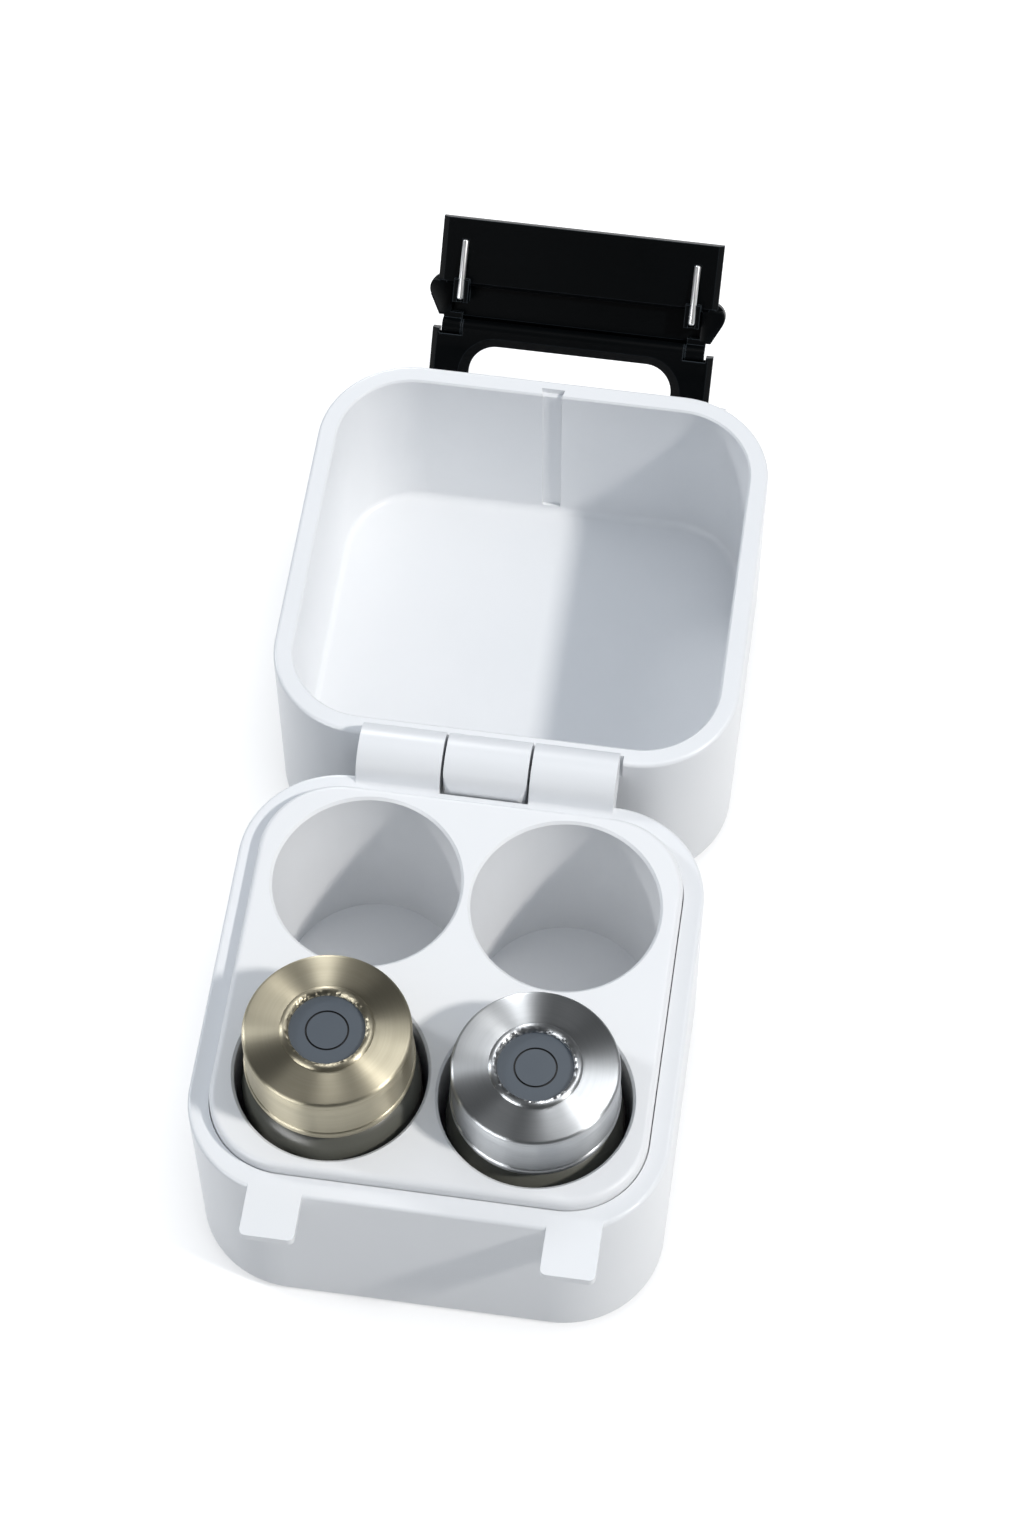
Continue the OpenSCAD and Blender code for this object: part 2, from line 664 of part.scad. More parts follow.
module left_vial_stopper() {
    color(stopper_grey) in_well(left_vial_spot) vial_stopper(left_vial_h);
}

module left_vial_seal() {
    color(champagne) in_well(left_vial_spot) vial_seal(left_vial_h);
}

module right_vial_glass() {
    color(clear_glass) in_well(right_vial_spot) vial_glass(right_vial_h);
}

module right_vial_stopper() {
    color(stopper_grey) in_well(right_vial_spot) vial_stopper(right_vial_h);
}

module right_vial_seal() {
    color(silver) in_well(right_vial_spot) vial_seal(right_vial_h);
}

base_shell();
vial_tray();
lid_shell();
hinge_pin();
pivot_pins();
latch_frame();
latch_lever();
lever_pin();
catch_rods();
left_vial_glass();
left_vial_stopper();
left_vial_seal();
right_vial_glass();
right_vial_stopper();
right_vial_seal();
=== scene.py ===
import math

import bpy
from bpy.props import FloatProperty, FloatVectorProperty, PointerProperty
from mathutils import Matrix, Vector


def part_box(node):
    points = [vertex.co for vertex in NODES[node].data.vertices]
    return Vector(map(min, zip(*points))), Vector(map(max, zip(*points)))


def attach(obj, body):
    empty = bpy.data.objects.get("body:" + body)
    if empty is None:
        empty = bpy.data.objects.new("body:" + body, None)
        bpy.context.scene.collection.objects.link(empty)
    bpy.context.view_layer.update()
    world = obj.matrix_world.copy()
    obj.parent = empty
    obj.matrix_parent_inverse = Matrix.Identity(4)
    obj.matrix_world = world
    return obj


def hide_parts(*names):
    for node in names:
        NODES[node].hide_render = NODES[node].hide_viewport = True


bl_info = {
    "name": "Vial Case",
    "version": (1, 0, 0),
    "blender": (4, 5, 0),
    "location": "3D View > Sidebar > Vial Case",
    "description": "Finishes a small hinged vial case with its tray, vials and draw latch",
    "category": "Object",
}

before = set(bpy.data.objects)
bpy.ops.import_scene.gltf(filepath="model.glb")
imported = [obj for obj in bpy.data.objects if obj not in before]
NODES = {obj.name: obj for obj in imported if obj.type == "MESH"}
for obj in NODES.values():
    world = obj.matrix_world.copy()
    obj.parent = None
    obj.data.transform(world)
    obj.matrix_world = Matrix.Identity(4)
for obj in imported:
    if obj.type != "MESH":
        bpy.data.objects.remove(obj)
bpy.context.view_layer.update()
MM = 0.001

# From the part's source: lean of the latch and slope of its wires in degrees, the wires' diameter in mm
LATCH_LEAN = 47
ROD_SLOPE = 6.5
ROD_D = 0.9

# Small pieces of the latch in mm, from the lever's turning axis: sideways, along its lean and out of it
WIRE_ROUND_R = 0.35
LIP_SIZE = (36.2, 1.1, 0.5)
LIP_ALONG = 0.95
LIP_OUT = -2.33
LIP_ROUND_R = 0.1
COLLAR_X = 15.55
COLLAR_HOLE_R = 0.57
COLLAR_R = 1.13
COLLAR_W = 0.24
CHEEK_INNER_X = 17.3
CHEEK_SIDE_X = 18.93
CHEEK_START = 1.5
CHEEK_END = 6.2
CHEEK_BULGE_AT = (18.7, 5.05)
CHEEK_BULGE_R = 1.88
CHEEK_BULGE_FROM = -27.5
CHEEK_BULGE_TO = 37
CHEEK_LOW = -2.55
CHEEK_HIGH = -0.12
CHEEK_ROUND_R = 0.25

# Crimped seals in mm, with depths measured down from about the level of the top beside the bead
SEAL_R = 10.25
SEAL_WALL = 0.3
SEAL_HEIGHT = 9.2
HOLE_R = 4.65
BEAD_R = 0.55
BEAD_DEPTH = 0.275
UNDER_BEAD = 0.55
TOP_FALL = ((6.0, 0.05), (7.2, 0.12), (8.4, 0.21))
EDGE_R = 0.5
EDGE_DEPTH = 0.8
GROOVE_DEPTHS = (0.95, 1.1, 1.3)
GROOVE_CUT = 0.09
SKIRT_DEPTHS = (3.0, 5.4)
ROLL_R = 0.45
ROLL_DEPTH = 7.85
FOOT_R = 0.35
FOOT_TOP = 8.7
FOOT_HOLE_R = 8.3
FOOT_INSIDE = 7.9
CRIMP_WITHIN_R = 5.0
CRIMP_DEPTH = 0.5
CRIMP_UNEVEN = 0.05
CRIMP_SEEDS = {"left": 7, "right": 23}
# Painted shade: a thin dark ring over each stopper's groove, its radius and width in mm
STOPPER_RING_R = 2.55
STOPPER_RING_W = 0.24

# Stage: sizes in metres, directions in degrees round the case from its front and up from the floor
FLOOR_SIZE = 12
FLOOR_DROP = 0.00005
CASE_MIDDLE = Vector((0, 0.033, 0.020))
VIEW_TARGET = Vector((0.002972, 0.033381, 0.030))
SENSOR_WIDTH_MM = 36
NEAREST_SEEN = 0.01
SOFTBOX_DISTANCE = 0.9
KEY_SPREAD = 5
KEY_COLOUR = (1.0, 0.972, 0.935)
SIDE_SPREAD = 7
SIDE_COLOUR = (0.97, 0.985, 1.0)
FILL_COLOUR = (0.84, 0.91, 1.0, 1)
ROOM_COLOUR = (0.96, 0.98, 1.0, 1)
WHITE = (1, 1, 1, 1)


# Helpers for materials

def linear(code):
    """Linear RGBA of an sRGB hex colour."""
    out = []
    for i in (1, 3, 5):
        c = int(code[i:i + 2], 16) / 255
        out.append(c / 12.92 if c <= 0.04045 else ((c + 0.055) / 1.055) ** 2.4)
    return (*out, 1.0)


def add(tree, kind, inputs=None, **settings):
    """Adds a node, sets its properties, and gives its inputs values or links from other nodes' outputs."""
    node = tree.nodes.new(kind)
    for key, value in settings.items():
        setattr(node, key, value)
    for key, value in (inputs or {}).items():
        if isinstance(value, bpy.types.NodeSocket):
            tree.links.new(value, node.inputs[key])
        else:
            node.inputs[key].default_value = value
    return node


def new_material(name):
    """An empty node material and its node tree."""
    material = bpy.data.materials.new(name)
    material.use_nodes = True
    material.node_tree.nodes.clear()
    return material, material.node_tree


def own_place(tree):
    """Coordinates on the piece itself, in metres."""
    return add(tree, "ShaderNodeTexCoord").outputs["Object"]


def finish_with(tree, shader):
    """Makes a shader the material's surface."""
    add(tree, "ShaderNodeOutputMaterial", {"Surface": shader.outputs[0]})


def noise(tree, place, size_mm, detail, roughness=0.5):
    """Cloudy noise whose patches are about that many millimetres across."""
    node = add(tree, "ShaderNodeTexNoise", {
        "Vector": place, "Scale": 1 / (size_mm * MM), "Detail": detail, "Roughness": roughness})
    return node.outputs["Fac"]


def calc(tree, operation, *values):
    """A Math node's result."""
    return add(tree, "ShaderNodeMath", dict(enumerate(values)), operation=operation).outputs["Value"]


def spread(tree, value, low, high, start=0.0, end=1.0, curve="LINEAR"):
    """A value mapped from between start and end to between low and high."""
    node = add(tree, "ShaderNodeMapRange", {
        "Value": value, "From Min": start, "From Max": end, "To Min": low, "To Max": high},
        interpolation_type=curve)
    return node.outputs["Result"]


def vary(tree, value, around, by):
    """A value that varies to both sides of a middle."""
    return spread(tree, value, around - by, around + by)


def blend(tree, factor, first, second):
    """A colour between two."""
    node = add(tree, "ShaderNodeMix", {"Factor": factor, "A": first, "B": second}, data_type="RGBA")
    return node.outputs["Result"]


def soft_edges(tree, radius_mm, samples):
    """Normals that look rounded over the edges."""
    return add(tree, "ShaderNodeBevel", {"Radius": radius_mm * MM}, samples=samples).outputs["Normal"]


def bump(tree, height, strength, depth_mm, over=None):
    """Normals with relief from a height, laid over other normals if they are given."""
    node = add(tree, "ShaderNodeBump", {"Height": height, "Strength": strength, "Distance": depth_mm * MM})
    if over is not None:
        tree.links.new(over, node.inputs["Normal"])
    return node.outputs["Normal"]


def from_axis(tree, place, center):
    """Coordinates from an upright axis, split in three, and the distance from that axis."""
    local = add(tree, "ShaderNodeMapping", {"Vector": place, "Location": (-center[0], -center[1], 0)})
    split = add(tree, "ShaderNodeSeparateXYZ", {"Vector": local.outputs["Vector"]}).outputs
    flat = add(tree, "ShaderNodeCombineXYZ", {"X": split["X"], "Y": split["Y"]})
    radius = add(tree, "ShaderNodeVectorMath", {0: flat.outputs["Vector"]}, operation="LENGTH")
    return split, radius.outputs["Value"]


def dress(node, material):
    """Gives a CAD node's own slots a material."""
    piece = NODES[node]
    if not piece.material_slots:
        piece.data.materials.append(material)
    for slot in piece.material_slots:
        slot.material = material


# Materials

def moulded_plastic(name, colour, tone, roughness, grain_mm, grain_strength, edge_mm):
    """Injection-moulded plastic: a fine grain from the mould, slight shifts of tone, and softened edges."""
    material, tree = new_material(name)
    place = own_place(tree)
    grain = noise(tree, place, grain_mm, detail=2.0)
    soft = soft_edges(tree, edge_mm, samples=6)
    finish_with(tree, add(tree, "ShaderNodeBsdfPrincipled", {
        "Base Color": blend(tree, noise(tree, place, size_mm=14, detail=3.0), colour, tone),
        "Roughness": vary(tree, grain, around=roughness, by=0.04),
        "IOR": 1.5,
        "Normal": bump(tree, grain, grain_strength, depth_mm=0.05, over=soft)}))
    return material


def moulded_black(name, colour, tone, painted_edge_highlight, grain_mm, edge_mm):
    """Glass-filled nylon, moulded black: dull faces with a fine grain, and a painted highlight that makes
    edges paler where they round.
    """
    material, tree = new_material(name)
    place = own_place(tree)
    plain = blend(tree, noise(tree, place, size_mm=9, detail=3.0), colour, tone)
    soft = soft_edges(tree, edge_mm, samples=8)
    face = add(tree, "ShaderNodeNewGeometry").outputs["True Normal"]
    same = add(tree, "ShaderNodeVectorMath", {0: soft, 1: face}, operation="DOT_PRODUCT")
    # Painted highlight: the colour turns paler where the rounded normals part from the flat faces
    edge = spread(tree, same.outputs["Value"], low=0.0, high=1.0, start=0.995, end=0.8)
    grain = noise(tree, place, grain_mm, detail=2.0)
    finish_with(tree, add(tree, "ShaderNodeBsdfPrincipled", {
        "Base Color": blend(tree, edge, plain, painted_edge_highlight),
        "Roughness": vary(tree, grain, around=0.36, by=0.06),
        "IOR": 1.45,
        "Specular IOR Level": 0.07,
        "Normal": bump(tree, grain, strength=0.08, depth_mm=0.05, over=soft)}))
    return material


def turned_metal(name, colour, tone, roughness, center):
    """Thin aluminium sheet, pressed and turned: rings too fine to see singly, drawn coarser here, pull each
    light into streaks that run out from the middle."""
    material, tree = new_material(name)
    place = own_place(tree)
    split, radius = from_axis(tree, place, center)
    section = add(tree, "ShaderNodeCombineXYZ", {"X": radius, "Y": split["Z"]}).outputs["Vector"]
    rings = noise(tree, section, size_mm=0.4, detail=4.0, roughness=0.7)
    cloud = noise(tree, place, size_mm=5, detail=3.0)
    # The small upright part runs down the skirt, where the direction outwards leaves the surface
    outwards = add(tree, "ShaderNodeCombineXYZ", {"X": split["X"], "Y": split["Y"], "Z": 0.5 * MM})
    finish_with(tree, add(tree, "ShaderNodeBsdfPrincipled", {
        "Base Color": blend(tree, calc(tree, "MULTIPLY", rings, cloud), colour, tone),
        "Metallic": 1.0,
        "Roughness": vary(tree, rings, around=roughness, by=0.06),
        "Anisotropic": 0.92,
        "Tangent": outwards.outputs["Vector"],
        "Normal": bump(tree, rings, strength=0.05, depth_mm=0.02)}))
    return material


def drawn_steel(name, colour, tone, roughness):
    """Bright drawn wire, with fine draw marks."""
    material, tree = new_material(name)
    place = own_place(tree)
    marks = noise(tree, place, size_mm=0.3, detail=3.0)
    finish_with(tree, add(tree, "ShaderNodeBsdfPrincipled", {
        "Base Color": blend(tree, marks, colour, tone),
        "Metallic": 1.0,
        "Roughness": vary(tree, marks, around=roughness, by=0.05)}))
    return material


def vial_glass(name, colour):
    """Glass of an empty vial, given a smoky, dull dark tint that paints the shade of its well, where the
    glass shows.
    """
    material, tree = new_material(name)
    place = own_place(tree)
    ripple = noise(tree, place, size_mm=6, detail=1.0)
    finish_with(tree, add(tree, "ShaderNodeBsdfPrincipled", {
        "Base Color": colour,
        "Roughness": vary(tree, ripple, around=0.3, by=0.04),
        "IOR": 1.5,
        "Transmission Weight": 0.2,
        "Normal": bump(tree, ripple, strength=0.05, depth_mm=0.1)}))
    return material


def stopper_rubber(name, colour, tone, ring, center, ring_r, ring_w):
    """Moulded butyl rubber: smooth and dull, with painted shade as a thin dark ring over the groove round
    the needle's spot.
    """
    material, tree = new_material(name)
    place = own_place(tree)
    radius = from_axis(tree, place, center)[1]
    plain = blend(tree, noise(tree, place, size_mm=3, detail=3.0), colour, tone)
    groove_shade_mask = calc(tree, "COMPARE", radius, ring_r, ring_w / 2)
    finish_with(tree, add(tree, "ShaderNodeBsdfPrincipled", {
        "Base Color": blend(tree, groove_shade_mask, plain, ring),
        "Roughness": 0.42,
        "IOR": 1.5}))
    return material


def white_paper(name):
    """Paper that shows as white away from the case, with a soft shadow where the case comes near it."""
    material, tree = new_material(name)
    path = add(tree, "ShaderNodeLightPath").outputs
    seen = calc(tree, "MAXIMUM", path["Is Camera Ray"], path["Is Glossy Ray"])
    seen = calc(tree, "MAXIMUM", seen, path["Is Transmission Ray"])
    # The glow is dimmed where the case hides the sky, which paints the soft shadow near the case
    openness = add(tree, "ShaderNodeAmbientOcclusion", {"Distance": 16 * MM}, samples=12).outputs["AO"]
    lift = calc(tree, "MULTIPLY", seen, spread(tree, openness, low=0.55, high=0.86, start=0.5, end=0.97))
    paper = add(tree, "ShaderNodeBsdfDiffuse", {"Color": linear("#b2b3b4")})
    glow = add(tree, "ShaderNodeEmission", {"Color": WHITE, "Strength": lift})
    finish_with(tree, add(tree, "ShaderNodeAddShader", {0: paper.outputs[0], 1: glow.outputs[0]}))
    return material


# Helpers for shapes

def middle(node):
    """Middle of a CAD node, seen from above."""
    low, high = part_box(node)
    return ((low[0] + high[0]) / 2, (low[1] + high[1]) / 2)


def arc(center, radius, first, last, steps):
    """Points of a circular arc in a profile of (radius, height), with its angles in degrees."""
    turn = (math.radians(first + (last - first) * i / steps) for i in range(steps + 1))
    return [(center[0] + radius * math.cos(a), center[1] + radius * math.sin(a)) for a in turn]


def start_point(name, location):
    """Starts a piece, in edit mode, as one selected vertex."""
    bpy.ops.object.select_all(action="DESELECT")
    bpy.ops.mesh.primitive_plane_add(size=MM, location=location)
    piece = bpy.context.object
    piece.name = name
    bpy.ops.object.transform_apply(location=True, rotation=True, scale=True)
    bpy.ops.object.mode_set(mode="EDIT")
    bpy.ops.mesh.select_all(action="SELECT")
    bpy.ops.mesh.merge(type="CENTER")
    return piece


def draw_edge(step):
    """Draws an edge from the selected vertex, with its step in metres, and selects its far end."""
    bpy.ops.mesh.extrude_region_move(TRANSFORM_OT_translate={"value": step})


def select_points(piece, keep):
    """Goes into edit mode, selects the vertices whose place passes the test, and counts them."""
    bpy.ops.object.mode_set(mode="EDIT")
    bpy.ops.mesh.select_all(action="DESELECT")
    bpy.ops.object.mode_set(mode="OBJECT")
    for vertex in piece.data.vertices:
        vertex.select = keep(vertex.co)
    count = sum(vertex.select for vertex in piece.data.vertices)
    bpy.ops.object.mode_set(mode="EDIT")
    bpy.ops.mesh.select_mode(type="VERT")
    return count


def round_edges(piece, radius, segments, least_angle):
    """Rounds the edges that are sharper than an angle in degrees."""
    bevel = piece.modifiers.new("round_edges", "BEVEL")
    bevel.width = radius
    bevel.segments = segments
    bevel.angle_limit = math.radians(least_angle)
    bpy.ops.object.modifier_apply(modifier=bevel.name)


def shade(least_angle):
    """Shades the new piece smooth, but for edges sharper than an angle in degrees."""
    bpy.ops.object.shade_smooth_by_angle(angle=math.radians(least_angle))


def spun(name, profile, center, base_z, steps):
    """Turns a closed profile of (radius, height) points, in millimetres, round an upright axis."""
    first = Vector((center[0] + profile[0][0] * MM, center[1], base_z + profile[0][1] * MM))
    piece = start_point(name, first)
    for here, there in zip(profile, profile[1:] + profile[:1]):
        draw_edge(((there[0] - here[0]) * MM, 0, (there[1] - here[1]) * MM))
    bpy.ops.mesh.select_all(action="SELECT")
    bpy.ops.mesh.spin(steps=steps, angle=math.tau, center=(center[0], center[1], 0), axis=(0, 0, 1))
    bpy.ops.mesh.select_all(action="SELECT")
    bpy.ops.mesh.remove_doubles(threshold=0.002 * MM)
    bpy.ops.mesh.normals_make_consistent(inside=False)
    bpy.ops.object.mode_set(mode="OBJECT")
    shade(least_angle=50)
    return piece


def wire(name, start, end, diameter, round_r):
    """A straight wire between two points, with rounded ends."""
    bpy.ops.object.select_all(action="DESELECT")
    along = end - start
    bpy.ops.mesh.primitive_cylinder_add(vertices=32, radius=diameter / 2, depth=along.length,
                                        location=(start + end) / 2,
                                        rotation=along.to_track_quat("Z", "Y").to_euler())
    piece = bpy.context.object
    piece.name = name
    round_edges(piece, round_r, segments=5, least_angle=60)
    bpy.ops.object.transform_apply(location=True, rotation=True, scale=True)
    shade(least_angle=50)
    return piece


def block(name, center, size, lean, round_r):
    """A box leaned about the side-to-side axis, with small rounds along its edges."""
    bpy.ops.object.select_all(action="DESELECT")
    bpy.ops.mesh.primitive_cube_add(size=1, location=center, rotation=(lean, 0, 0), scale=size)
    piece = bpy.context.object
    piece.name = name
    bpy.ops.object.transform_apply(location=True, rotation=True, scale=True)
    round_edges(piece, round_r, segments=2, least_angle=30)
    shade(least_angle=40)
    return piece


def slab(name, outline, low, high, origin, lean, round_r):
    """A flat piece with an outline in millimetres, leaned about a side-to-side axis, with rounded edges."""
    piece = start_point(name, origin + Vector((outline[0][0], outline[0][1], low)) * MM)
    for here, there in zip(outline, outline[1:]):
        draw_edge(((there[0] - here[0]) * MM, (there[1] - here[1]) * MM, 0))
    bpy.ops.mesh.select_all(action="SELECT")
    bpy.ops.mesh.edge_face_add()
    bpy.ops.mesh.extrude_region_move(TRANSFORM_OT_translate={"value": (0, 0, (high - low) * MM)})
    bpy.ops.mesh.select_all(action="SELECT")
    bpy.ops.mesh.normals_make_consistent(inside=False)
    bpy.ops.transform.rotate(value=-lean, orient_axis="X", orient_type="GLOBAL", center_override=origin)
    bpy.ops.object.mode_set(mode="OBJECT")
    round_edges(piece, round_r, segments=3, least_angle=50)
    shade(least_angle=40)
    return piece


# Pieces

def catch_wires(material):
    """The two wires of the lever, in place of the plain rods."""
    low, high = (Vector(corner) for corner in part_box("catch_rods"))
    slope = math.radians(LATCH_LEAN - ROD_SLOPE)
    inset = Vector((0, math.sin(slope), math.cos(slope))) * ROD_D * MM / 2
    for side, x in (("left", low.x + ROD_D * MM / 2), ("right", high.x - ROD_D * MM / 2)):
        start = Vector((x, low.y + inset.y, low.z + inset.z))
        end = Vector((x, high.y - inset.y, high.z - inset.z))
        piece = wire(side + "_catch_wire", start, end, ROD_D * MM, WIRE_ROUND_R * MM)
        piece.data.materials.append(material)
        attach(piece, "latch_lever")
        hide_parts("catch_rods")


def pocket_lip(turn_at, lean, material):
    """A strip below the pocket that closes the light gap to the frame."""
    along = Vector((0, math.cos(lean), math.sin(lean)))
    out = Vector((0, -math.sin(lean), math.cos(lean)))
    center = turn_at + (LIP_ALONG * along + LIP_OUT * out) * MM
    piece = block("pocket_lip", center, Vector(LIP_SIZE) * MM, lean, LIP_ROUND_R * MM)
    piece.data.materials.append(material)
    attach(piece, "latch_lever")


def bar_collar(side, sign, turn_at, material):
    """A thin ring round the frame's bar that closes the light gap beside the lever."""
    half = COLLAR_W / 2
    profile = [(COLLAR_HOLE_R, -half), (COLLAR_R, -half), (COLLAR_R, half), (COLLAR_HOLE_R, half)]
    x = sign * COLLAR_X * MM
    piece = spun(side + "_bar_collar", profile, (turn_at.x + x, turn_at.y), turn_at.z, steps=48)
    bpy.ops.object.mode_set(mode="EDIT")
    bpy.ops.mesh.select_all(action="SELECT")
    bpy.ops.transform.rotate(value=math.pi / 2, orient_axis="Y", orient_type="GLOBAL",
                             center_override=turn_at + Vector((x, 0, 0)))
    bpy.ops.object.mode_set(mode="OBJECT")
    piece.data.materials.append(material)
    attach(piece, "latch_frame")


def cheek_face(side, sign, turn_at, lean, material):
    """Fills the outer part of a cheek of the lever, which the solid leaves hollow."""
    outline = [(CHEEK_INNER_X, CHEEK_START), (CHEEK_SIDE_X, CHEEK_START)]
    outline += arc(CHEEK_BULGE_AT, CHEEK_BULGE_R, CHEEK_BULGE_FROM, CHEEK_BULGE_TO, steps=8)
    outline += [(CHEEK_INNER_X, CHEEK_END)]
    outline = [(sign * x, y) for x, y in outline]
    piece = slab(side + "_cheek_face", outline, CHEEK_LOW, CHEEK_HIGH, turn_at, lean, CHEEK_ROUND_R * MM)
    piece.data.materials.append(material)
    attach(piece, "latch_lever")


def seal_profile():
    """Bead round the hole, falling top, round edge, groove, skirt, roll and turned-in foot of a seal."""
    inside_r = SEAL_R - SEAL_WALL
    profile = [(HOLE_R, -UNDER_BEAD)]
    profile += arc((HOLE_R + BEAD_R, -BEAD_DEPTH), BEAD_R, first=180, last=24, steps=12)
    profile += [(radius, -depth) for radius, depth in TOP_FALL]
    profile += arc((SEAL_R - EDGE_R, -EDGE_DEPTH), EDGE_R, first=84, last=0, steps=8)
    profile += [(SEAL_R - cut, -depth) for cut, depth in zip((0, GROOVE_CUT, 0), GROOVE_DEPTHS)]
    profile += [(SEAL_R, -depth) for depth in SKIRT_DEPTHS]
    profile += arc((SEAL_R - ROLL_R / 2, -ROLL_DEPTH), ROLL_R, first=60, last=-60, steps=8)
    profile += [(SEAL_R, -FOOT_TOP)]
    profile += arc((SEAL_R - FOOT_R, FOOT_R - SEAL_HEIGHT), FOOT_R, first=0, last=-90, steps=5)
    profile += [(FOOT_HOLE_R, -SEAL_HEIGHT), (FOOT_HOLE_R, -FOOT_INSIDE)]
    profile += [(inside_r, -FOOT_INSIDE), (inside_r, -UNDER_BEAD)]
    return profile


def crimped_seal(name, center, top_z, seed):
    """A pressed and turned seal, with its bead's inner side left slightly uneven by the crimping."""
    piece = spun(name, seal_profile(), center, top_z, steps=144)
    axis = Vector(center)
    found = select_points(piece, lambda co: (co.xy - axis).length < CRIMP_WITHIN_R * MM
                          and co.z > top_z - CRIMP_DEPTH * MM)
    if not found:
        raise RuntimeError("the bead's inner side wasn't found")
    bpy.ops.transform.vertex_random(offset=CRIMP_UNEVEN * MM, uniform=0.6, normal=0.5, seed=seed)
    bpy.ops.object.mode_set(mode="OBJECT")
    return piece


# Lights and camera

def towards(azimuth, elevation):
    """Direction away from the case, with the azimuth counted from its front to the right, in radians."""
    return Vector((math.sin(azimuth) * math.cos(elevation), -math.cos(azimuth) * math.cos(elevation),
                   math.sin(elevation)))


def place_light(light, aim, location=(0, 0, 0)):
    """Puts a light in the scene, with its back to a direction."""
    lamp = bpy.data.objects.new(light.name, light)
    bpy.context.scene.collection.objects.link(lamp)
    lamp.location = location
    lamp.rotation_euler = aim.to_track_quat("Z", "Y").to_euler()
    return lamp


def far_light(name, colour, strength, spread_degrees, aim):
    """A sun, with its size in the sky in degrees."""
    light = bpy.data.lights.new(name, "SUN")
    light.energy = strength
    light.color = colour
    light.angle = math.radians(spread_degrees)
    place_light(light, aim)


def softbox(name, azimuth, elevation, size, power):
    """A rectangular lamp seen only in reflections, with its direction in degrees and size in metres."""
    light = bpy.data.lights.new(name, "AREA")
    light.shape = "RECTANGLE"
    light.size, light.size_y = size
    light.energy = power
    aim = towards(math.radians(azimuth), math.radians(elevation))
    lamp = place_light(light, aim, CASE_MIDDLE + aim * SOFTBOX_DISTANCE)
    lamp.visible_diffuse = False


def studio_world(strength):
    """White behind the case, a cool fill that is brighter from above, and a dim room in reflections."""
    world = bpy.data.worlds.new("studio")
    world.use_nodes = True
    tree = world.node_tree
    tree.nodes.clear()
    path = add(tree, "ShaderNodeLightPath").outputs
    sky = add(tree, "ShaderNodeTexCoord").outputs["Generated"]
    height = add(tree, "ShaderNodeSeparateXYZ", {"Vector": sky}).outputs["Z"]
    bright = spread(tree, height, low=0.45 * strength, high=1.4 * strength, start=0.15, end=0.95,
                    curve="SMOOTHSTEP")
    fill = add(tree, "ShaderNodeBackground", {"Color": FILL_COLOUR, "Strength": bright})
    dim = spread(tree, height, low=0.03, high=0.1, start=0.35, end=0.98, curve="SMOOTHSTEP")
    room = add(tree, "ShaderNodeBackground", {"Color": ROOM_COLOUR, "Strength": dim})
    white = add(tree, "ShaderNodeBackground", {"Color": WHITE, "Strength": 1.0})
    lit = add(tree, "ShaderNodeMixShader", {
        "Fac": path["Is Glossy Ray"], 1: fill.outputs[0], 2: room.outputs[0]})
    shown = add(tree, "ShaderNodeMixShader", {
        "Fac": path["Is Camera Ray"], 1: lit.outputs[0], 2: white.outputs[0]})
    add(tree, "ShaderNodeOutputWorld", {"Surface": shown.outputs[0]})
    return world


def view_camera(stage):
    """A camera that looks at the case from the photograph's side, with a slight roll."""
    back = towards(stage.azimuth, stage.elevation)
    right = Vector((math.cos(stage.azimuth), math.sin(stage.azimuth), 0))
    up = back.cross(right)
    across = math.cos(stage.roll) * right + math.sin(stage.roll) * up
    above = math.cos(stage.roll) * up - math.sin(stage.roll) * right
    lens = bpy.data.cameras.new("view")
    lens.lens = stage.lens
    lens.sensor_width = SENSOR_WIDTH_MM
    lens.clip_start = NEAREST_SEEN
    camera = bpy.data.objects.new("view", lens)
    bpy.context.scene.collection.objects.link(camera)
    place = Matrix.Translation(VIEW_TARGET + back * stage.distance)
    camera.matrix_world = place @ Matrix((across, above, back)).transposed().to_4x4()
    return camera


# Settings

class VialCaseColours(bpy.types.PropertyGroup):
    """Main colours of the pieces"""
    case: FloatVectorProperty(
        name="Case", description="White of the moulded case",
        default=linear("#edeef0"), size=4, min=0, max=1, subtype="COLOR")
    tray: FloatVectorProperty(
        name="Tray", description="White of the vial tray",
        default=linear("#eeeff0"), size=4, min=0, max=1, subtype="COLOR")
    latch: FloatVectorProperty(
        name="Latch", description="Black of the latch",
        default=linear("#030506"), size=4, min=0, max=1, subtype="COLOR")
    left_seal: FloatVectorProperty(
        name="Left seal", description="Pale gold of the left seal",
        default=linear("#b1ab98"), size=4, min=0, max=1, subtype="COLOR")
    right_seal: FloatVectorProperty(
        name="Right seal", description="Silver of the right seal",
        default=linear("#b4b7ba"), size=4, min=0, max=1, subtype="COLOR")
    stopper: FloatVectorProperty(
        name="Stoppers", description="Blue-grey of the stoppers",
        default=linear("#4c555e"), size=4, min=0, max=1, subtype="COLOR")
    # The glass's dark tint is painted shade for the wells the vials sit in
    glass: FloatVectorProperty(
        name="Glass", description="Tint of the glass",
        default=linear("#6b6b63"), size=4, min=0, max=1, subtype="COLOR")


